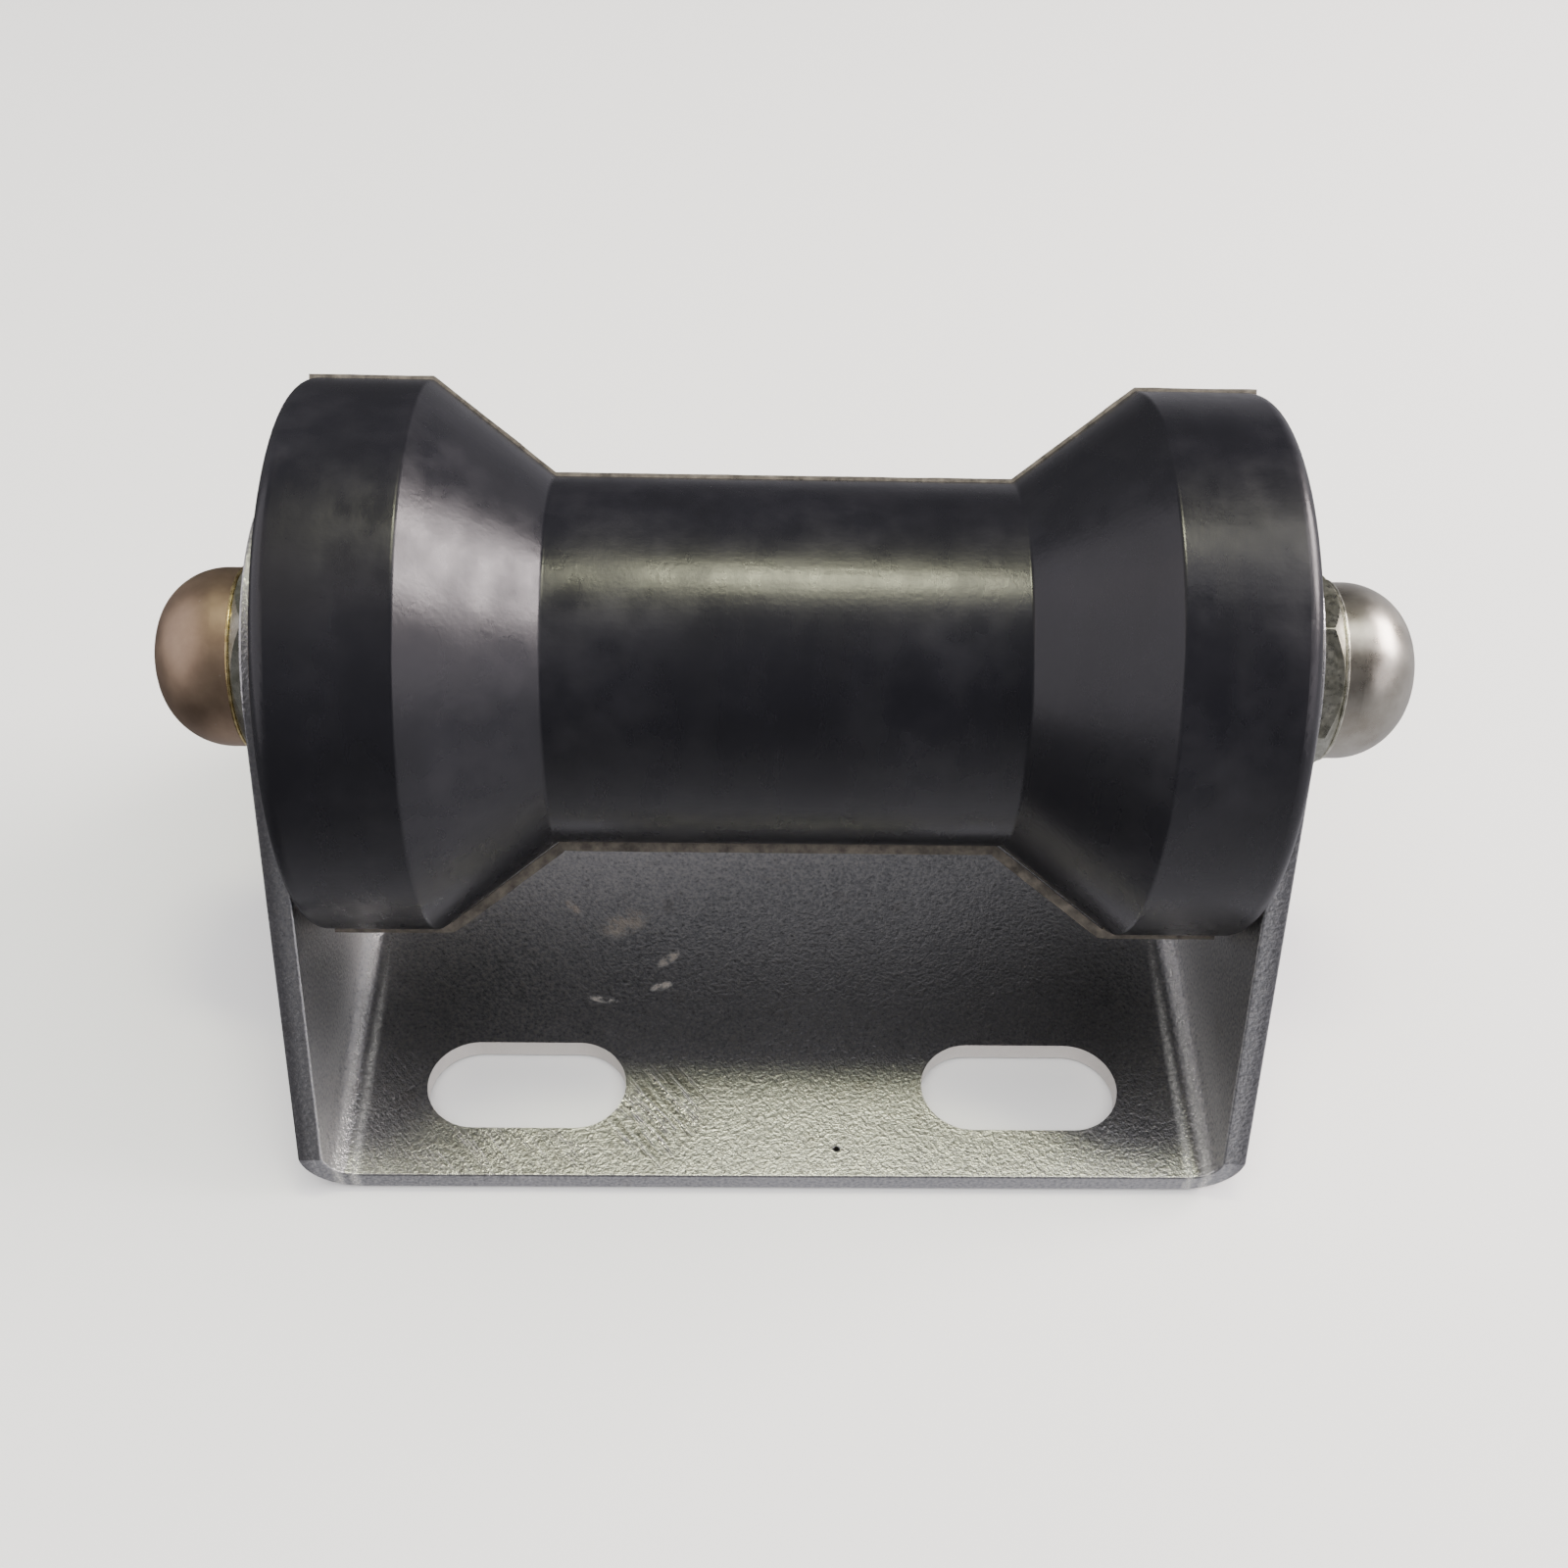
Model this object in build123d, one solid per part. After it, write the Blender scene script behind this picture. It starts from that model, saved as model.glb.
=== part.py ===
from build123d import *
from math import acos, atan2, cos, hypot, sin, sqrt
import os

os.makedirs("parts", exist_ok=True)

# +X runs along the roller axle, -Y is the front, +Z is up, and the origin is
# the centre of the bracket's underside. All sizes are in millimetres.

# Roller
roller_length = 120.0
roller_dia = 70.0
rim_width = 16.0
waist_length = 58.0
waist_dia = 47.0
rim_edge_radius = 2.0
profile_edge_radius = 0.8

# Bracket, folded from one plate
sheet = 3.2
bend_radius = 4.0
base_depth = 94.0
axle_height = 55.0
ear_top_radius = 22.0
edge_break = 0.3
slot_length = 28.0
slot_width = 14.0
slot_spacing_x = 70.0
slot_spacing_y = 65.0

# Axle and what runs on it
axle_dia = 16.0
axle_end_chamfer = 1.2
axle_reach_in_cap = 6.0
spacer_wall = 1.8
bush_wall = 2.94
bush_length = 25.0
core_wall = 2.0
washer_dia = 34.0
washer_thickness = 0.8

# Domed nuts, with a flat washer under the one that is turned to tighten
nut_hex_height = 4.0
nut_corner_round = 0.4
nut_edge = 0.15
boss_height = 2.5
boss_wall = 1.1
lock_ring_width = 2.0
cap_room = 0.9
cap_wall = 1.5
cap_straight = 2.0
cap_shoulder_radius = 9.0
cap_crown_radius = 15.5
cap_seat_thickness = 0.6
cap_seat_edge = 0.2
nut_turns = {"left": -3.0, "right": -7.0}
flat_washer_dia = 28.0
flat_washer_thickness = {"left": 0.0, "right": 2.0}

# Clearances
side_gap = 1.0
running_clearance = 0.06
axle_clearance = 0.2
hole_clearance = 0.1
flat_washer_clearance = 0.5

half_inside = roller_length / 2 + side_gap
half_outside = half_inside + sheet
axle_radius = axle_dia / 2
spacer_bore = axle_radius + axle_clearance
spacer_radius = spacer_bore + spacer_wall
running_bore = spacer_radius + running_clearance
bush_radius = running_bore + bush_wall
core_radius = bush_radius + core_wall
boss_radius = axle_radius + boss_wall
cap_bore = boss_radius + cap_room
cap_radius = cap_bore + cap_wall
cap_seat_radius = cap_radius + cap_seat_edge
nut_face_radius = cap_seat_radius + nut_edge
nut_across_flats = 2 * (nut_face_radius + nut_edge)
nut_foot = {side: half_outside + gap for side, gap in flat_washer_thickness.items()}
boss_end = nut_hex_height + boss_height
cap_start = nut_hex_height + cap_seat_thickness
crown_centre_back = sqrt(
    (cap_crown_radius - cap_shoulder_radius) ** 2 - (cap_radius - cap_shoulder_radius) ** 2)
cap_tip = cap_start + cap_straight + cap_crown_radius - crown_centre_back


def round_corners(face, corners, radius):
    """Rounds the corners of a flat face that lie at the given points."""
    chosen = [v for v in face.vertices()
              if any(hypot(v.X - x, v.Y - y) < 1e-6 for x, y in corners)]
    return fillet(chosen, radius)


def turn(face):
    """Revolves a face, drawn as distance along the axle and radius, about the axle."""
    return Pos(0, 0, axle_height) * revolve(face, Axis.X)


def ring(start, end, bore, radius):
    """A plain tube round the axle."""
    return turn(make_face(Polyline(
        (start, bore), (end, bore), (end, radius), (start, radius), close=True)))


def axle_bar(start, end, radius):
    """A plain round bar on the axle line."""
    return turn(make_face(Polyline(
        (start, 0), (end, 0), (end, radius), (start, radius), close=True)))


def to_side(solid, side):
    """Puts a piece drawn for the right-hand end on the side that is asked for."""
    return solid if side == "right" else mirror(solid, about=Plane.YZ)


def fit_nut(solid, side):
    """Seats a piece of a nut, drawn from its foot at zero, and turns it as it was tightened."""
    seated = to_side(Pos(nut_foot[side], 0, 0) * solid, side)
    return seated.rotate(Axis((0, 0, axle_height), (1, 0, 0)), nut_turns[side])


def channel_outline(half_width, floor, corner_radius, top):
    """An open-topped U seen from the front, filled in."""
    face = make_face(Polyline(
        (-half_width, top), (-half_width, floor), (half_width, floor), (half_width, top),
        close=True))
    return round_corners(face, [(-half_width, floor), (half_width, floor)], corner_radius)


def ear_outline():
    """The bracket seen from the side: straight edges leaning in to a round top."""
    half_depth = base_depth / 2
    bend_top = bend_radius + sheet
    rise = axle_height - bend_top
    lean = acos(ear_top_radius / hypot(half_depth, rise)) - atan2(rise, half_depth)
    touch_y = ear_top_radius * cos(lean)
    touch_z = axle_height + ear_top_radius * sin(lean)
    sides = Polyline(
        (-touch_y, touch_z), (-half_depth, bend_top), (-half_depth, 0),
        (half_depth, 0), (half_depth, bend_top), (touch_y, touch_z))
    crown = ThreePointArc(
        (touch_y, touch_z), (0, axle_height + ear_top_radius), (-touch_y, touch_z))
    return make_face([sides, crown])


def break_sheared_edges(folded):
    """Rounds the sheared edges slightly, round both ears and then along the base's ends."""
    bend_top = bend_radius + sheet
    ears = [e for e in folded.edges()
            if (e @ 0.5).Z > bend_top + edge_break and e.length > 2 * sheet]
    folded = fillet(ears, edge_break)
    base = [e for e in folded.edges()
            if (e @ 0.5).Z < bend_top - edge_break
            and abs(abs((e @ 0.5).Y) - base_depth / 2) < 1e-6 and e.length > bend_radius]
    return fillet(base, edge_break)


def make_bracket():
    """Base and two ears folded from one plate, with four slots and two axle holes."""
    top = axle_height + ear_top_radius
    outer = channel_outline(half_outside, 0, bend_radius + sheet, top)
    inner = channel_outline(half_inside, sheet, bend_radius, top)
    folded = extrude(Plane.XZ * (outer - inner), base_depth / 2, both=True)
    folded &= extrude(Plane.YZ * ear_outline(), half_outside, both=True)
    folded = break_sheared_edges(folded)
    folded -= axle_bar(-half_outside, half_outside, axle_radius + hole_clearance)
    for x in (-slot_spacing_x / 2, slot_spacing_x / 2):
        for y in (-slot_spacing_y / 2, slot_spacing_y / 2):
            folded -= Pos(x, y, 0) * extrude(SlotOverall(slot_length, slot_width), sheet)
    return folded


def make_roller():
    """The moulded roller: a straight waist, two cones and two plain rims."""
    half = roller_length / 2
    rim = roller_dia / 2
    waist = waist_dia / 2
    rim_start = half - rim_width
    ends = [(-half, rim), (half, rim)]
    steps = [(-rim_start, rim), (-waist_length / 2, waist),
             (waist_length / 2, waist), (rim_start, rim)]
    face = make_face(Polyline(
        (-half, core_radius), ends[0], *steps, ends[1], (half, core_radius), close=True))
    face = round_corners(face, ends, rim_edge_radius)
    return turn(round_corners(face, steps, profile_edge_radius))


def make_stud():
    """The axle, a stud whose two ends carry the domed nuts."""
    left = nut_foot["left"] + cap_start + axle_reach_in_cap
    right = nut_foot["right"] + cap_start + axle_reach_in_cap
    tip = axle_radius - axle_end_chamfer
    return turn(make_face(Polyline(
        (-left, 0), (right, 0), (right, tip), (right - axle_end_chamfer, axle_radius),
        (-left + axle_end_chamfer, axle_radius), (-left, tip), close=True)))


def make_nut_hex():
    """A low hexagon, its outer corners cut back to a round face, with a boss on that face."""
    corner = nut_across_flats / sqrt(3)
    prism = extrude(
        Plane.YZ * RegularPolygon(nut_across_flats / 2, 6, major_radius=False), boss_end)
    prism = fillet(prism.edges().filter_by(Axis.X), nut_corner_round)
    envelope = turn(make_face(Polyline(
        (0, axle_radius), (0, corner), (nut_hex_height - corner + nut_face_radius, corner),
        (nut_hex_height, nut_face_radius), (nut_hex_height, boss_radius),
        (boss_end, boss_radius), (boss_end, axle_radius), close=True)))
    return Pos(0, 0, axle_height) * prism & envelope


def cap_skin(inset):
    """One side of the cap's wall: straight from its foot, then a shoulder, then the crown."""
    shoulder_start = cap_start + cap_straight
    shoulder_centre = Vector(shoulder_start, cap_radius - cap_shoulder_radius)
    crown_centre = Vector(cap_tip - cap_crown_radius, 0)
    lean = (shoulder_centre - crown_centre).normalized()
    meeting = crown_centre + lean * (cap_crown_radius - inset)
    straight = Line((cap_start, cap_radius - inset), (shoulder_start, cap_radius - inset))
    shoulder = TangentArc(straight @ 1, meeting, tangent=(1, 0))
    crown = TangentArc((cap_tip - inset, 0), meeting, tangent=(0, 1))
    return [straight, shoulder, crown]


def make_nut_cap():
    """The pressed dome that closes a nut, with the seating ring at its foot."""
    foot = Polyline(
        (cap_start, cap_bore), (nut_hex_height, cap_bore),
        (nut_hex_height, cap_seat_radius), (cap_start, cap_seat_radius),
        (cap_start, cap_radius))
    tip = Line((cap_tip - cap_wall, 0), (cap_tip, 0))
    return turn(make_face([*cap_skin(cap_wall), foot, *cap_skin(0), tip]))


pieces = {
    "bracket": make_bracket(),
    "roller_body": make_roller(),
    "roller_core_tube": ring(-roller_length / 2, roller_length / 2, bush_radius, core_radius),
    "spacer_tube": ring(-half_inside, half_inside, spacer_bore, spacer_radius),
    "axle_stud": make_stud(),
}
bush_start = roller_length / 2 - bush_length
washer_start = roller_length / 2 + (side_gap - washer_thickness) / 2
washer_end = washer_start + washer_thickness
for side in ("left", "right"):
    pieces[f"bush_{side}"] = to_side(
        ring(bush_start, roller_length / 2, running_bore, bush_radius), side)
    pieces[f"thrust_washer_{side}"] = to_side(
        ring(washer_start, washer_end, running_bore, washer_dia / 2), side)
    pieces[f"nut_hex_{side}"] = fit_nut(make_nut_hex(), side)
    pieces[f"nut_lock_ring_{side}"] = fit_nut(
        ring(boss_end, boss_end + lock_ring_width, axle_radius, boss_radius), side)
    pieces[f"nut_cap_{side}"] = fit_nut(make_nut_cap(), side)
    if flat_washer_thickness[side] > 0:
        pieces[f"flat_washer_{side}"] = to_side(
            ring(half_outside, nut_foot[side], axle_radius + flat_washer_clearance,
                 flat_washer_dia / 2), side)

for name, solid in pieces.items():
    export_step(solid, f"parts/{name}.step")
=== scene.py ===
import math
import bpy
from mathutils import Matrix, Vector


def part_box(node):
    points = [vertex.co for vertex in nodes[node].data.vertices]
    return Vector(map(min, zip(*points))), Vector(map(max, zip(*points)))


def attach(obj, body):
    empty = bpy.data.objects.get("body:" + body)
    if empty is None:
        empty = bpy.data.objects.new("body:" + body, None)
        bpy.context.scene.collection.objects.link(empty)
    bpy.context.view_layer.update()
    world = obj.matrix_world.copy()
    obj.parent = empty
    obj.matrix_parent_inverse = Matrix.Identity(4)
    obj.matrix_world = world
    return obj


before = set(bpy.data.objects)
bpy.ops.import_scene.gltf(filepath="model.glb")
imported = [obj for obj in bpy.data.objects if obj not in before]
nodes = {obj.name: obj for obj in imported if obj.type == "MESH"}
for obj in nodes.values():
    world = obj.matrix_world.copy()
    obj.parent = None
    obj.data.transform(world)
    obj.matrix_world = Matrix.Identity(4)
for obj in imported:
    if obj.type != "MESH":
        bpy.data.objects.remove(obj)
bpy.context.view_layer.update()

MM = 0.001
AXLE_HEIGHT = sum(corner.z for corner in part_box("roller_body")) / 2
ROLLER_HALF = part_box("roller_body")[1].x
RIM_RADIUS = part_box("roller_body")[1].y
RIM_WIDTH = 16.0 * MM
WAIST_HALF = 29.0 * MM
WAIST_RADIUS = 23.5 * MM
BASE_TOP = 3.2
BEND_START = 57.0


# ---------------------------------------------------------------- colour and nodes

def linear(hex_colour):
    """An sRGB hex value as the linear colour that a shader takes."""
    channels = [int(hex_colour[i:i + 2], 16) / 255 for i in (1, 3, 5)]
    return tuple(c / 12.92 if c <= 0.04045 else ((c + 0.055) / 1.055) ** 2.4
                 for c in channels) + (1.0,)


def add(tree, kind, *values, out=None, stops=(), **named):
    """Adds a node and gives back its output. Values fill its inputs in order. A name is one
    of its settings or, failing that, one of its inputs, with _ for a space."""
    node = tree.nodes.new("ShaderNode" + kind)
    inputs = dict(enumerate(values))
    for name, value in named.items():
        if hasattr(node, name):
            setattr(node, name, value)
        else:
            inputs[name.replace("_", " ")] = value
    for place, value in inputs.items():
        if isinstance(value, bpy.types.NodeSocket):
            tree.links.new(value, node.inputs[place])
        else:
            node.inputs[place].default_value = value
    for number, (position, colour) in enumerate(stops):
        spots = node.color_ramp.elements
        spot = spots[number] if number < len(spots) else spots.new(position)
        spot.position = position
        spot.color = linear(colour)
    if out:
        return node.outputs[out]
    return next((socket for socket in node.outputs if socket.enabled), None)


def new_material(name):
    """An empty material, and the object coordinates that its patterns use."""
    material = bpy.data.materials.new(name)
    material.use_nodes = True
    tree = material.node_tree
    tree.nodes.clear()
    return material, tree, add(tree, "TexCoord", out="Object")


def oval(tree, place, centre_mm, turn, length_mm, width_mm):
    """1 inside a flat oval mark on the bracket, falling to 0 at its rim."""
    own = add(tree, "Mapping", place, vector_type="TEXTURE",
              Location=[c * MM for c in centre_mm], Rotation=(0, 0, math.radians(turn)),
              Scale=(length_mm / 2 * MM, width_mm / 2 * MM, 3 * MM))
    reach = add(tree, "VectorMath", own, operation="LENGTH")
    return add(tree, "MapRange", reach, 0.55, 1.0, 1.0, 0.0)


def overlay(tree, colour, *layers):
    """Lays tints over a colour, each where its mask is 1 and as strongly as it says."""
    for mask, amount, tint in layers:
        share = add(tree, "Math", mask, amount, operation="MULTIPLY")
        colour = add(tree, "MixRGB", share, colour, linear(tint))
    return colour


def pile_up(tree, value, *layers):
    """Adds masks to a value, each times its own amount."""
    for mask, amount in layers:
        value = add(tree, "Math", mask, amount, value, operation="MULTIPLY_ADD")
    return value


# ---------------------------------------------------------------- the bracket's sheet

def grinding_marks(tree, place, across):
    """The coarse disc's diagonal lines: their height, and where the lines beside and under the
    front left slot are deep, masks for a painted highlight on their ridges and painted shade in
    their furrows."""
    # Grit lines 0.2 mm apart are too fine to show, so they are drawn 0.5 mm apart.
    disc = add(tree, "Mapping", place, vector_type="TEXTURE",
               Rotation=(0, 0, math.radians(-51)), Scale=(14, 1, 1))
    lines = add(tree, "TexNoise", disc, Scale=1 / (0.5 * MM), Detail=2.0, Roughness=0.55)
    gouge = add(tree, "TexNoise", disc, Scale=1 / (0.95 * MM), Detail=3.0, Roughness=0.6)
    leftward = add(tree, "MapRange", across, -0.03, 0.03, 1.0, 0.45)
    ground = add(tree, "Math", lines, leftward, operation="MULTIPLY")

    beside_slot = oval(tree, place, (-16.5, -37.5, BASE_TOP), 60, 20, 15)
    under_slot = oval(tree, place, (-37, -43.5, BASE_TOP), 0, 34, 11)
    scored = add(tree, "Math", under_slot, 0.45, operation="MULTIPLY")
    scored = add(tree, "Math", beside_slot, scored, operation="MAXIMUM")
    # Where the gouges are deep, one side is painted as shade and the other as highlight.
    furrow_shade = add(tree, "MapRange", gouge, 0.42, 0.48, 1.0, 0.0)
    ridge = add(tree, "MapRange", gouge, 0.52, 0.58, 0.0, 1.0)
    return (ground, add(tree, "Math", ridge, scored, operation="MULTIPLY"),
            add(tree, "Math", furrow_shade, scored, operation="MULTIPLY"))


def scuff_marks(tree, place):
    """Old scuffs on the base, behind the front left slot."""
    scuffs = 0.0
    for x, y, turn, length, width in ((-22.5, -4, 25, 9, 5.5), (-30.5, -1, -50, 4.5, 1.6),
                                      (-15.5, -10.5, 40, 5, 1.8), (-16.5, -15.5, 20, 4, 1.6),
                                      (-25, -18, -12, 5, 1.2)):
        mark = oval(tree, place, (x, y, BASE_TOP), turn, length, width)
        scuffs = add(tree, "Math", mark, scuffs, operation="MAXIMUM")
    broken = add(tree, "TexNoise", place, Scale=1 / (1.6 * MM), Detail=4.0, Roughness=0.7)
    broken = add(tree, "MapRange", broken, 0.40, 0.54, 0.0, 0.8)
    return add(tree, "Math", scuffs, broken, operation="MULTIPLY")


def punch_marks_and_highlight(tree, sideways):
    """The two lines that the bending punch leaves: where a bend starts, and halfway up it.
    Their pale tint is partly the punch's rubbing and partly a painted highlight along the bend.
    """
    punch = 0.0
    for line in (BEND_START + 0.4, BEND_START + 2.6):
        off = add(tree, "Math", sideways, line * MM, operation="SUBTRACT")
        off = add(tree, "Math", off, operation="ABSOLUTE")
        band = add(tree, "MapRange", off, 0.1 * MM, 0.9 * MM, 1.0, 0.0)
        punch = add(tree, "Math", band, punch, operation="MAXIMUM")
    return punch


def cut_faces(tree, place, sideways):
    """The laser-cut faces: the sheet's outer edge, and the walls of the slots, whose pale tint
    is a painted highlight.
    """
    normal = add(tree, "TexCoord", out="Normal")
    edge = add(tree, "Math", add(tree, "SeparateXYZ", normal, out="Y"), operation="ABSOLUTE")
    edge = add(tree, "MapRange", edge, 0.35, 0.6, 0.0, 1.0)
    outer_half = add(tree, "MapRange", sideways, 62.2 * MM, 63.4 * MM, 0.25, 1.0)
    edge = add(tree, "Math", edge, outer_half, operation="MULTIPLY")

    upright = add(tree, "Math", add(tree, "SeparateXYZ", normal, out="Z"), operation="ABSOLUTE")
    upright = add(tree, "MapRange", upright, 0.3, 0.6, 1.0, 0.0)
    endways = add(tree, "Math", add(tree, "SeparateXYZ", place, out="Y"), operation="ABSOLUTE")
    behind_edge = add(tree, "MapRange", endways, 40.5 * MM, 42.0 * MM, 1.0, 0.0)
    between_bends = add(tree, "MapRange", sideways, 52.0 * MM, 54.0 * MM, 1.0, 0.0)
    wall = add(tree, "Math", behind_edge, between_bends, operation="MULTIPLY")
    return edge, add(tree, "Math", wall, upright, operation="MULTIPLY")


def blasted_stainless():
    """304 stainless sheet, laser cut, ground with a coarse disc, folded and bead blasted.
    To the eye it is a neutral grey satin that sparkles where it catches the light, helped by
    glints painted on the peen's high points and shade painted in its hollows, with diagonal
    grinding lines that are plainest beside the front left slot."""
    material, tree, place = new_material("blasted_stainless_sheet")
    across = add(tree, "SeparateXYZ", place, out="X")
    sideways = add(tree, "Math", across, operation="ABSOLUTE")

    # Beads of about 0.2 mm leave pits about 0.5 mm across, and softer ones twice that.
    peen = add(tree, "TexNoise", place, Scale=1 / (0.5 * MM), Detail=2.0, Roughness=0.6)
    dimple = add(tree, "TexNoise", place, Scale=1 / (1.1 * MM), Detail=1.0)
    # The bead tint is painted glints on the peen's high points; the hollow tint is painted
    # shade in its low points.
    bead = add(tree, "MapRange", peen, 0.44, 0.62, 0.0, 0.7)
    peen_hollow_shade = add(tree, "MapRange", peen, 0.30, 0.40, 0.40, 0.0)
    cloud = add(tree, "TexNoise", place, Scale=1 / (28 * MM), Detail=4.0)
    rub = add(tree, "TexNoise", place, Scale=1 / (6 * MM), Detail=6.0, Roughness=0.68)
    rubbed = add(tree, "MapRange", rub, 0.60, 0.70, 0.0, 1.0)

    ground, gouge_and_highlight, gouge_shade = grinding_marks(tree, place, across)
    scuffed = scuff_marks(tree, place)
    punch = punch_marks_and_highlight(tree, sideways)
    edge, slot_wall_highlight = cut_faces(tree, place, sideways)
    # A small pit whose near-black inside is painted shade.
    shaded_pit = oval(tree, place, (8.6, -42.6, BASE_TOP), 0, 1.1, 0.9)

    colour = add(tree, "ValToRGB", cloud, stops=((0.3, "#bbbdbe"), (0.7, "#d5d6d6")))
    # The peen's pale and dark tints are painted glints and painted shade.
    colour = overlay(tree, colour, (bead, 1.0, "#eeede9"), (peen_hollow_shade, 1.0, "#5f5c57"),
                     (rubbed, 0.25, "#8f857c"), (edge, 0.6, "#6f6e73"),
                     # The gouges' near-white tint is a painted highlight and their dark tint
                     # painted shade.
                     (gouge_and_highlight, 0.8, "#fbfaf4"), (gouge_shade, 0.6, "#5a5853"),
                     # The slots' walls' pale tint is a painted highlight.
                     (scuffed, 0.8, "#b9aa98"), (slot_wall_highlight, 1.0, "#e9e4dd"),
                     # The bend lines' pale tint is partly rubbing and partly a painted
                     # highlight.
                     (punch, 0.4, "#dedcd4"), (shaded_pit, 1.0, "#100e0c"))
    rough = add(tree, "MapRange", peen, 0.3, 0.7, 0.42, 0.32)
    rough = pile_up(tree, rough, (gouge_and_highlight, -0.10), (scuffed, 0.22), (punch, -0.10))
    height = pile_up(tree, peen, (dimple, 0.35), (ground, 0.5), (gouge_and_highlight, -0.7),
                     (punch, 0.5), (shaded_pit, -2.5))
    relief = add(tree, "Bump", Strength=0.8, Distance=0.15 * MM, Height=height)

    # Scuffs and the punch's rubbed lines scatter light, as clean metal doesn't. The slots'
    # walls are made as dull, so that their painted highlight shows.
    wear_and_highlight = add(tree, "Math", punch, peen, operation="MULTIPLY")
    wear_and_highlight = add(tree, "Math", scuffed, wear_and_highlight, operation="MAXIMUM")
    wear_and_highlight = add(tree, "Math", wear_and_highlight, slot_wall_highlight, operation="MAXIMUM")
    bare = add(tree, "MapRange", wear_and_highlight, 0.0, 1.0, 1.0, 0.35)
    shader = add(tree, "BsdfPrincipled", colour, Metallic=bare, Roughness=rough, Normal=relief)
    add(tree, "OutputMaterial", shader)
    return material


# ---------------------------------------------------------------- the other materials

def moulded_rubber():
    """Hard black rubber from a polished two-part mould: a satin skin, clouded by handling,
    with smears that run round the roller and a few pale scuffs."""
    material, tree, place = new_material("moulded_black_rubber")
    cloud = add(tree, "TexNoise", place, Scale=1 / (24 * MM), Detail=4.0)
    round_it = add(tree, "Mapping", place, Scale=(1, 0.2, 0.2))
    smear = add(tree, "TexNoise", round_it, Scale=1 / (6 * MM), Detail=6.0, Roughness=0.62)
    along_it = add(tree, "Mapping", place, Scale=(0.12, 1, 1))
    streak = add(tree, "TexNoise", along_it, Scale=1 / (1.6 * MM), Detail=4.0, Roughness=0.6)
    mottle = add(tree, "TexNoise", place, Scale=1 / (4.5 * MM), Detail=3.0, Roughness=0.5)
    skin = add(tree, "TexNoise", place, Scale=1 / (0.6 * MM), Detail=2.0)
    fleck = add(tree, "TexNoise", place, Scale=1 / (2.4 * MM), Detail=6.0, Roughness=0.8)
    scuffed = add(tree, "MapRange", fleck, 0.725, 0.765, 0.0, 1.0)
    # A dull bloom gathers in patches on the surface.
    bloom = add(tree, "MapRange", mottle, 0.36, 0.72, 0.0, 1.0)
    bloom = add(tree, "Math", bloom, add(tree, "MapRange", cloud, 0.4, 0.65, 0.0, 1.0),
                operation="MULTIPLY")

    colour = add(tree, "ValToRGB", cloud, stops=((0.3, "#0f0f13"), (0.75, "#15151a")))
    colour = overlay(tree, colour, (bloom, 0.45, "#29282d"), (scuffed, 0.55, "#8f8c88"))
    rough = add(tree, "MapRange", smear, 0.3, 0.7, 0.21, 0.31)
    rough = pile_up(tree, rough, (bloom, 0.14), (scuffed, 0.25))
    height = pile_up(tree, skin, (mottle, 2.2), (streak, 1.2))
    relief = add(tree, "Bump", Strength=0.35, Distance=0.04 * MM, Height=height)
    shader = add(tree, "BsdfPrincipled", colour, Roughness=rough, IOR=1.52, Normal=relief)
    add(tree, "OutputMaterial", shader)
    return material


def turned_stainless():
    """Stainless bar and tube, turned on a lathe: bright, with fine rings round the axle."""
    material, tree, place = new_material("turned_stainless")
    cloud = add(tree, "TexNoise", place, Scale=1 / (12 * MM), Detail=3.0)
    # The tool's feed of 0.1 mm is too fine to show, so the rings are drawn 0.35 mm apart.
    round_it = add(tree, "Mapping", place, Scale=(1, 0.015, 0.015))
    rings = add(tree, "TexNoise", round_it, Scale=1 / (0.35 * MM), Detail=2.0)
    colour = add(tree, "ValToRGB", cloud, stops=((0.3, "#a5a39d"), (0.7, "#bcbab4")))
    rough = add(tree, "MapRange", cloud, 0.3, 0.7, 0.24, 0.34)
    relief = add(tree, "Bump", Strength=0.4, Distance=0.02 * MM, Height=rings)
    shader = add(tree, "BsdfPrincipled", colour, Metallic=1.0, Roughness=rough, Normal=relief)
    add(tree, "OutputMaterial", shader)
    return material


def forged_nut():
    """Cold-forged stainless hexagon, barrel polished: bright flats, slightly green-grey in
    patches, and peppered with small dents that make the shine uneven."""
    material, tree, place = new_material("forged_nut_stainless")
    cloud = add(tree, "TexNoise", place, Scale=1 / (3.5 * MM), Detail=5.0, Roughness=0.65)
    dents = add(tree, "TexNoise", place, Scale=1 / (0.8 * MM), Detail=3.0, Roughness=0.7)
    colour = add(tree, "ValToRGB", cloud, stops=((0.32, "#7f806f"), (0.68, "#c6c7ba")))
    rough = add(tree, "MapRange", dents, 0.35, 0.65, 0.24, 0.40)
    relief = add(tree, "Bump", Strength=0.5, Distance=0.04 * MM, Height=dents)
    shader = add(tree, "BsdfPrincipled", colour, Metallic=1.0, Roughness=rough, Normal=relief)
    add(tree, "OutputMaterial", shader)
    return material


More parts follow.
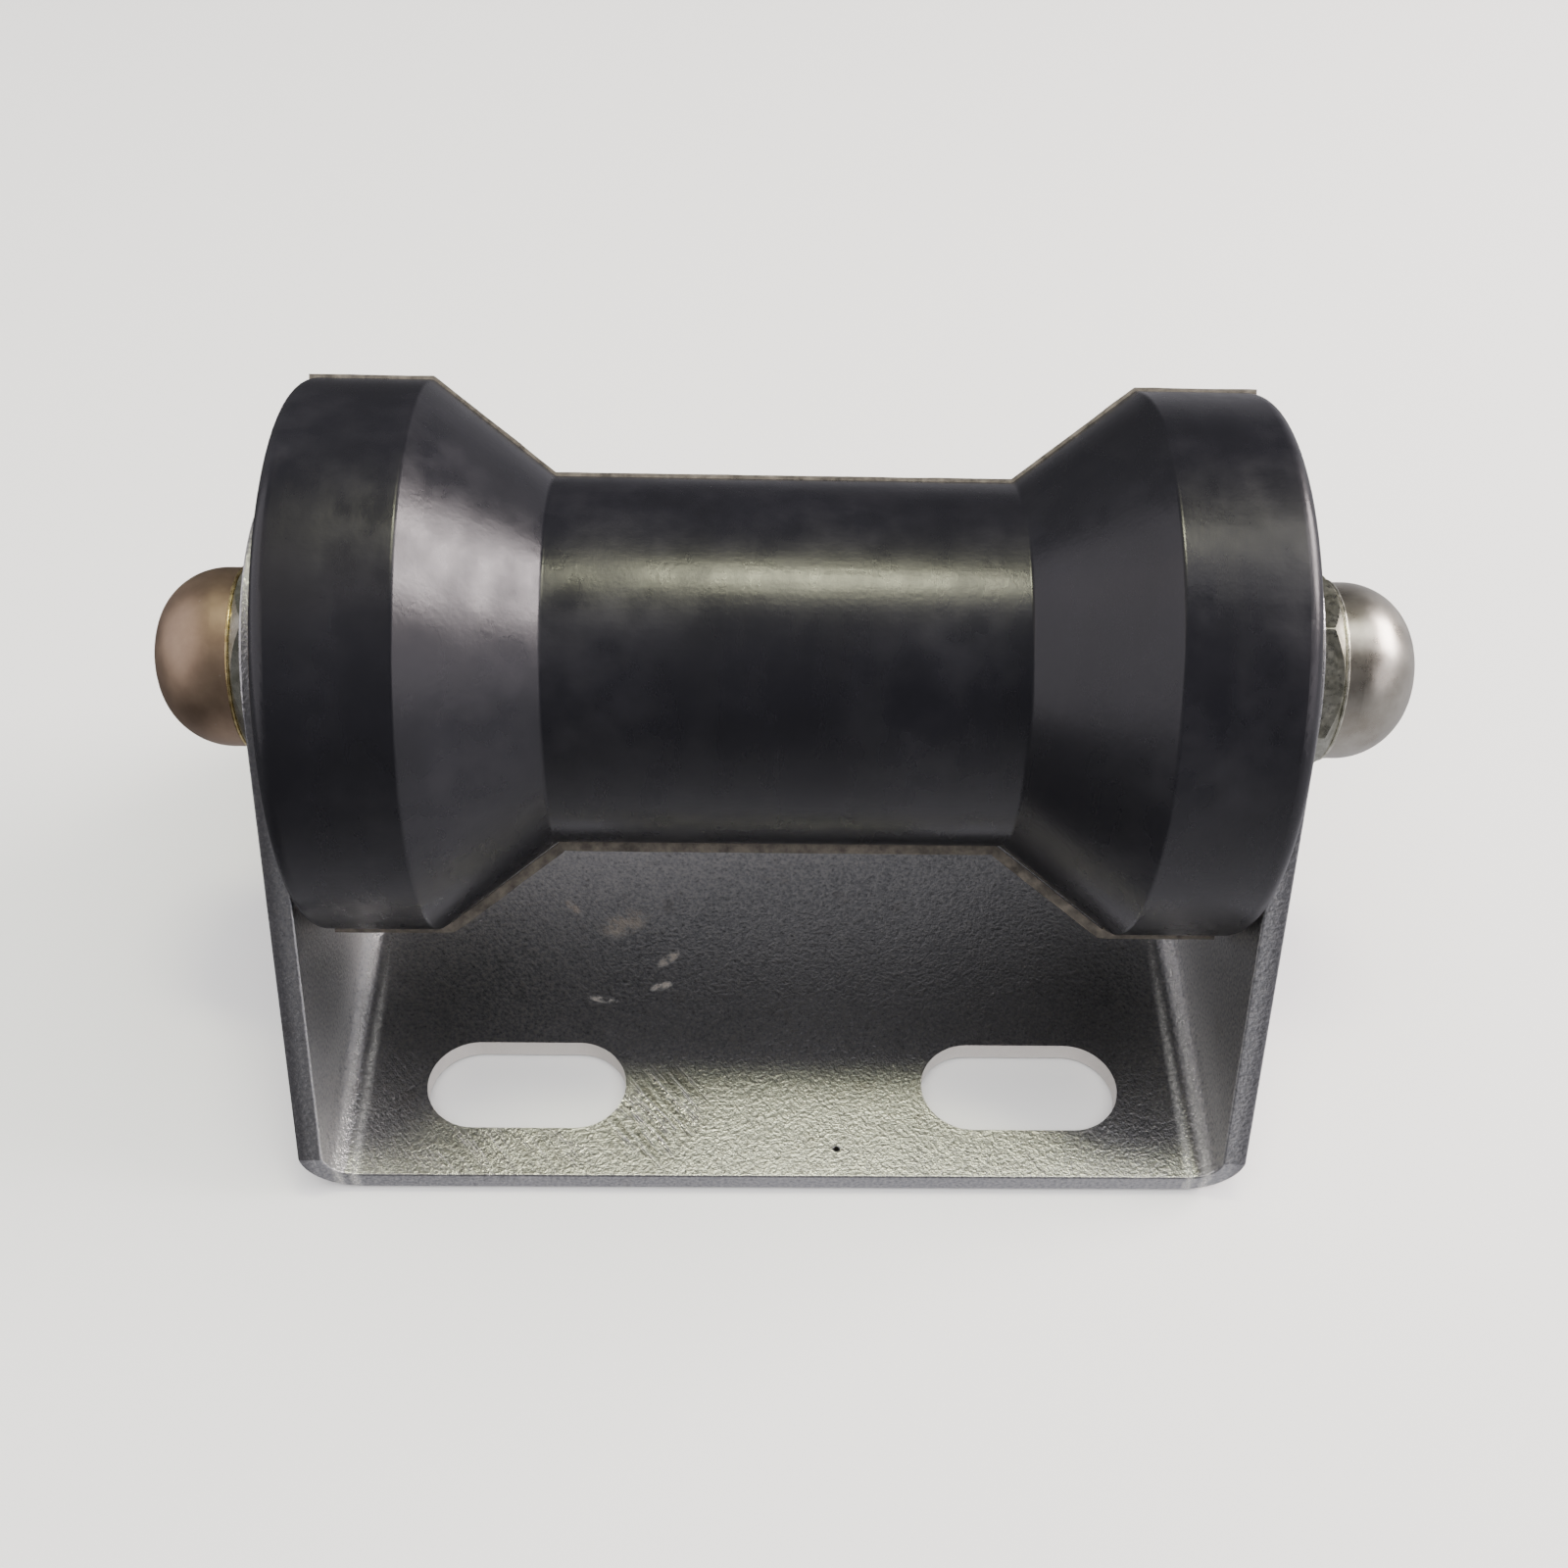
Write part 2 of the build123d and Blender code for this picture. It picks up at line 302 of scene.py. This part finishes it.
def pressed_cap(name, pale, dark, dull):
    """Stainless cap drawn in a press and tumbled: a soft satin with faint lines round it, small
    bright nicks, and the tint of its pale and dark colours."""
    material, tree, place = new_material(name)
    cloud = add(tree, "TexNoise", place, Scale=1 / (6 * MM), Detail=5.0, Roughness=0.6)
    round_it = add(tree, "Mapping", place, Scale=(1, 0.12, 0.12))
    drawn = add(tree, "TexNoise", round_it, Scale=1 / (0.5 * MM), Detail=3.0)
    nick = add(tree, "TexNoise", place, Scale=1 / (1.0 * MM), Detail=4.0, Roughness=0.75)
    nicked = add(tree, "MapRange", nick, 0.69, 0.74, 0.0, 1.0)
    colour = add(tree, "ValToRGB", cloud, stops=((0.3, dark), (0.7, pale)))
    colour = overlay(tree, colour, (nicked, 0.6, "#efebdf"))
    rough = add(tree, "MapRange", cloud, 0.3, 0.7, dull - 0.05, dull + 0.05)
    height = pile_up(tree, drawn, (nicked, -1.0))
    relief = add(tree, "Bump", Strength=0.35, Distance=0.02 * MM, Height=height)
    shader = add(tree, "BsdfPrincipled", colour, Metallic=1.0, Roughness=rough, Normal=relief)
    add(tree, "OutputMaterial", shader)
    return material


def fused_seam(name, pale, dark):
    """The fused metal at a cap's foot: brighter than the cap, rippled, and heat tinted."""
    material, tree, place = new_material(name)
    ripple = add(tree, "TexNoise", place, Scale=1 / (1.1 * MM), Detail=3.0)
    colour = add(tree, "ValToRGB", ripple, stops=((0.3, dark), (0.7, pale)))
    rough = add(tree, "MapRange", ripple, 0.3, 0.7, 0.20, 0.34)
    relief = add(tree, "Bump", Strength=0.4, Distance=0.05 * MM, Height=ripple)
    shader = add(tree, "BsdfPrincipled", colour, Metallic=1.0, Roughness=rough, Normal=relief)
    add(tree, "OutputMaterial", shader)
    return material


def trimmed_flash():
    """Rubber that squeezed out where the mould halves met, trimmed with a blade: rougher than
    the moulded skin, and browner and paler, partly as cut rubber and partly as a painted
    highlight along the ridge."""
    material, tree, place = new_material("trimmed_rubber_flash_and_highlight")
    nicks = add(tree, "TexNoise", place, Scale=1 / (1.5 * MM), Detail=4.0, Roughness=0.7)
    # Paler and browner than the skin: partly cut rubber, partly a painted highlight along the
    # ridge.
    colour = add(tree, "ValToRGB", nicks, stops=((0.3, "#3c3935"), (0.7, "#7c756b")))
    rough = add(tree, "MapRange", nicks, 0.3, 0.7, 0.34, 0.55)
    relief = add(tree, "Bump", Strength=0.5, Distance=0.08 * MM, Height=nicks)
    shader = add(tree, "BsdfPrincipled", colour, Roughness=rough, IOR=1.52, Normal=relief)
    add(tree, "OutputMaterial", shader)
    return material


def natural_nylon():
    """Nylon 6, turned from natural rod: off-white and matt, with faint tool rings."""
    material, tree, place = new_material("natural_nylon")
    cloud = add(tree, "TexNoise", place, Scale=1 / (8 * MM), Detail=3.0)
    round_it = add(tree, "Mapping", place, Scale=(1, 0.02, 0.02))
    rings = add(tree, "TexNoise", round_it, Scale=1 / (0.4 * MM), Detail=2.0)
    colour = add(tree, "ValToRGB", cloud, stops=((0.3, "#d8d3c2"), (0.7, "#e6e1d2")))
    rough = add(tree, "MapRange", cloud, 0.3, 0.7, 0.45, 0.55)
    relief = add(tree, "Bump", Strength=0.3, Distance=0.02 * MM, Height=rings)
    shader = add(tree, "BsdfPrincipled", colour, Roughness=rough, IOR=1.53, Normal=relief)
    add(tree, "OutputMaterial", shader)
    return material


def finish_nodes(material, *names):
    """Gives CAD nodes their material."""
    for name in names:
        for slot in nodes[name].material_slots:
            slot.material = material


finish_nodes(blasted_stainless(), "bracket")
finish_nodes(moulded_rubber(), "roller_body")
finish_nodes(turned_stainless(), "axle_stud", "spacer_tube", "roller_core_tube")
finish_nodes(forged_nut(), "nut_hex_left", "nut_hex_right", "flat_washer_right")
finish_nodes(pressed_cap("pressed_cap_straw", "#bba48c", "#9c8671", 0.44), "nut_cap_left")
finish_nodes(pressed_cap("pressed_cap_pale", "#d2cfc3", "#aaa496", 0.30), "nut_cap_right")
finish_nodes(natural_nylon(), "bush_left", "bush_right", "thrust_washer_left",
             "thrust_washer_right", "nut_lock_ring_left", "nut_lock_ring_right")


# ---------------------------------------------------------------- modelled pieces

def begin(name, add_primitive):
    """Adds a primitive with nothing else selected, names it and opens it for editing."""
    bpy.ops.object.select_all(action="DESELECT")
    add_primitive()
    piece = bpy.context.object
    piece.name = name
    piece.data.name = name
    bpy.ops.object.transform_apply(location=True, rotation=True, scale=True)
    bpy.ops.object.mode_set(mode="EDIT")
    return piece


def choose_vertices(piece, test):
    """Selects the vertices whose places pass a test, in edit mode."""
    bpy.ops.mesh.select_mode(type="VERT")
    bpy.ops.mesh.select_all(action="DESELECT")
    bpy.ops.object.mode_set(mode="OBJECT")
    for vertex in piece.data.vertices:
        vertex.select = test(vertex.co)
    bpy.ops.object.mode_set(mode="EDIT")
    bpy.ops.mesh.select_mode(type="VERT")


def close_up():
    """Merges doubles, turns every face outwards and leaves edit mode."""
    bpy.ops.mesh.select_all(action="SELECT")
    bpy.ops.mesh.remove_doubles(threshold=0.002 * MM)
    bpy.ops.mesh.normals_make_consistent(inside=False)
    bpy.ops.object.mode_set(mode="OBJECT")


def apply_modifier(piece, kind, **settings):
    """Adds a modifier and applies it."""
    modifier = piece.modifiers.new(kind.lower(), kind)
    for name, value in settings.items():
        setattr(modifier, name, value)
    bpy.context.view_layer.objects.active = piece
    bpy.ops.object.modifier_apply(modifier=modifier.name)


def cloud_texture(name, size_mm):
    """A cloud pattern that roughens a mesh."""
    texture = bpy.data.textures.new(name, "CLOUDS")
    texture.noise_scale = size_mm * MM
    return texture


def parting_flash(name, behind_top):
    """The mould's parting line: a low trimmed ridge that follows the roller's profile from
    rim to rim, drawn along the top and then turned about the axle to its place. It sinks
    into the rubber by its depth and stands proud of it."""
    wide = 0.6 * MM
    deep = 0.9 * MM
    proud = 0.45 * MM
    edge = 0.5 * MM
    rim_start = ROLLER_HALF - RIM_WIDTH
    first = -ROLLER_HALF + edge
    route = [(-rim_start, RIM_RADIUS), (-WAIST_HALF, WAIST_RADIUS),
             (WAIST_HALF, WAIST_RADIUS), (rim_start, RIM_RADIUS),
             (ROLLER_HALF - edge, RIM_RADIUS)]
    piece = begin(name, lambda: bpy.ops.mesh.primitive_plane_add(
        size=wide, location=(first + wide / 2, 0, AXLE_HEIGHT + RIM_RADIUS + proud)))
    at_x, at_radius = first + wide, RIM_RADIUS
    for x, radius in route:
        choose_vertices(piece, lambda place: place.x > at_x - 0.01 * MM)
        step = (x - at_x, 0, radius - at_radius)
        bpy.ops.mesh.extrude_region_move(TRANSFORM_OT_translate={"value": step})
        at_x, at_radius = x, radius
    bpy.ops.mesh.select_all(action="SELECT")
    bpy.ops.mesh.subdivide(number_cuts=23)
    bpy.ops.mesh.select_all(action="SELECT")
    bpy.ops.transform.rotate(value=behind_top, orient_axis="X", orient_type="GLOBAL",
                             center_override=(0, 0, AXLE_HEIGHT))
    close_up()
    apply_modifier(piece, "SOLIDIFY", thickness=deep + proud, offset=-1.0)
    apply_modifier(piece, "DISPLACE", texture=cloud_texture(name + "_trimming", 4.0),
                   strength=0.16 * MM, mid_level=0.5, texture_coords="LOCAL")
    bpy.ops.object.select_all(action="DESELECT")
    piece.select_set(True)
    bpy.context.view_layer.objects.active = piece
    bpy.ops.object.shade_smooth_by_angle(angle=math.radians(40))
    piece.data.materials.append(flash_and_highlight_finish)
    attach(piece, "roller")
    return piece


def cap_seam(name, cap, outward, finish):
    """The seam at a cap's foot: a thin round bead spun about the axle and left uneven."""
    low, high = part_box(cap)
    foot = low.x if outward > 0 else high.x
    seat_radius = (high.y - low.y) / 2
    bead = 0.28 * MM
    centre = (foot + outward * 0.3 * MM, 0, AXLE_HEIGHT + seat_radius - 0.08 * MM)
    piece = begin(name, lambda: bpy.ops.mesh.primitive_circle_add(
        vertices=10, radius=bead, location=centre, rotation=(math.pi / 2, 0, 0)))
    bpy.ops.mesh.select_all(action="SELECT")
    bpy.ops.mesh.spin(steps=144, angle=2 * math.pi, center=(centre[0], 0, AXLE_HEIGHT),
                      axis=(1, 0, 0))
    close_up()
    apply_modifier(piece, "DISPLACE", texture=cloud_texture(name + "_ripple", 1.4),
                   strength=0.12 * MM, mid_level=0.5, texture_coords="LOCAL")
    bpy.ops.object.shade_smooth()
    piece.data.materials.append(finish)
    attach(piece, "bracket_and_axle")
    return piece


flash_and_highlight_finish = trimmed_flash()
parting_flash("roller_flash_upper", math.radians(38))
parting_flash("roller_flash_lower", math.radians(218))
cap_seam("nut_seam_left", "nut_cap_left", -1,
         fused_seam("fused_seam_straw", "#e0cf98", "#a8925c"))
cap_seam("nut_seam_right", "nut_cap_right", 1,
         fused_seam("fused_seam_pale", "#e4e2d2", "#a9a894"))


# ---------------------------------------------------------------- camera

aim = Vector((0.97 * MM, 0.0, AXLE_HEIGHT - 44.6 * MM))
elevation = math.radians(51.83)
turned = math.radians(2.54)
rolled = math.radians(-2.52)
distance = 263.0 * MM
forward = Vector((math.sin(turned) * math.cos(elevation),
                  math.cos(turned) * math.cos(elevation), -math.sin(elevation)))
right = forward.cross(Vector((0, 0, 1))).normalized()
down = forward.cross(right)
camera_x = right * math.cos(rolled) + down * math.sin(rolled)
camera_y = right * math.sin(rolled) - down * math.cos(rolled)
camera_data = bpy.data.cameras.new("camera")
camera_data.sensor_width = 36.0
camera_data.lens = 40.106
camera_data.shift_x = 0.0026
camera_data.shift_y = 0.058
camera_data.clip_start = 0.01
camera = bpy.data.objects.new("camera", camera_data)
bpy.context.scene.collection.objects.link(camera)
camera.matrix_world = Matrix.Translation(aim - forward * distance) @ Matrix(
    (camera_x, camera_y, -forward)).transposed().to_4x4()
bpy.context.scene.camera = camera


# ---------------------------------------------------------------- floor and light

def softbox(name, place, width, depth, radiance, colour, mirrored=True):
    """A soft rectangular light that faces the roller, with the brightness that its own
    face shows in a reflection, or with no reflection at all."""
    data = bpy.data.lights.new(name, "AREA")
    data.shape = "RECTANGLE"
    data.size = width
    data.size_y = depth
    data.energy = radiance * math.pi * width * depth
    data.color = linear(colour)[:3]
    light = bpy.data.objects.new(name, data)
    bpy.context.scene.collection.objects.link(light)
    light.location = place
    aim_at = Vector((0, 0, AXLE_HEIGHT)) - Vector(place)
    light.rotation_euler = aim_at.to_track_quat("-Z", "Y").to_euler()
    light.visible_glossy = mirrored
    return light


bpy.ops.object.select_all(action="DESELECT")
bpy.ops.mesh.primitive_plane_add(size=6.0, location=(0, 0, -0.4 * MM))
floor = bpy.context.object
floor.name = "floor"
floor_finish, floor_tree, _ = new_material("pale_floor")
floor_skin = add(floor_tree, "BsdfPrincipled", linear("#f6f6f4"), Roughness=0.9)
add(floor_tree, "OutputMaterial", floor_skin)
floor.data.materials.append(floor_finish)
floor.visible_glossy = False

softbox("overhead", (0.03, 0.075, 0.66), 0.15, 0.06, 62.0, "#f8f8d0")
softbox("right_ceiling", (0.30, -0.02, 0.68), 0.30, 0.60, 1.0, "#f6f2fa")
softbox("overhead_right", (0.37, 0.10, 0.62), 0.20, 0.20, 3.0, "#fffdf8")
softbox("right_window", (0.68, 0.165, 0.49), 0.44, 0.30, 23.5, "#fff2f2")
softbox("right_wall", (0.75, -0.40, 0.40), 0.5, 0.4, 1.4, "#f6ecf4")
softbox("left_wall", (-0.85, -0.05, 0.42), 1.2, 0.9, 1.1, "#efe8f0")
softbox("left_ceiling", (-0.50, -0.12, 0.80), 0.7, 0.6, 0.35, "#fff0e2")
softbox("floor_fill", (0.0, -0.2, 1.4), 1.6, 1.6, 4.2, "#ffffff", mirrored=False)

# The room is brightest low on the right, a little lit on the left and dim elsewhere.
world = bpy.data.worlds.new("studio")
bpy.context.scene.world = world
world.use_nodes = True
room = world.node_tree
backdrop = room.nodes["Background"]
backdrop.inputs["Color"].default_value = linear("#e6e3ea")
direction = add(room, "TexCoord", out="Generated")
rightward = add(room, "VectorMath", direction, (0.75, 0.0, -0.65), operation="DOT_PRODUCT")
right_glow = add(room, "MapRange", rightward, 0.0, 0.6, 0.13, 0.80)
left_glow = add(room, "MapRange", rightward, -0.2, -0.6, 0.13, 0.30)
glow = add(room, "Math", right_glow, left_glow, operation="MAXIMUM")
room.links.new(glow, backdrop.inputs["Strength"])
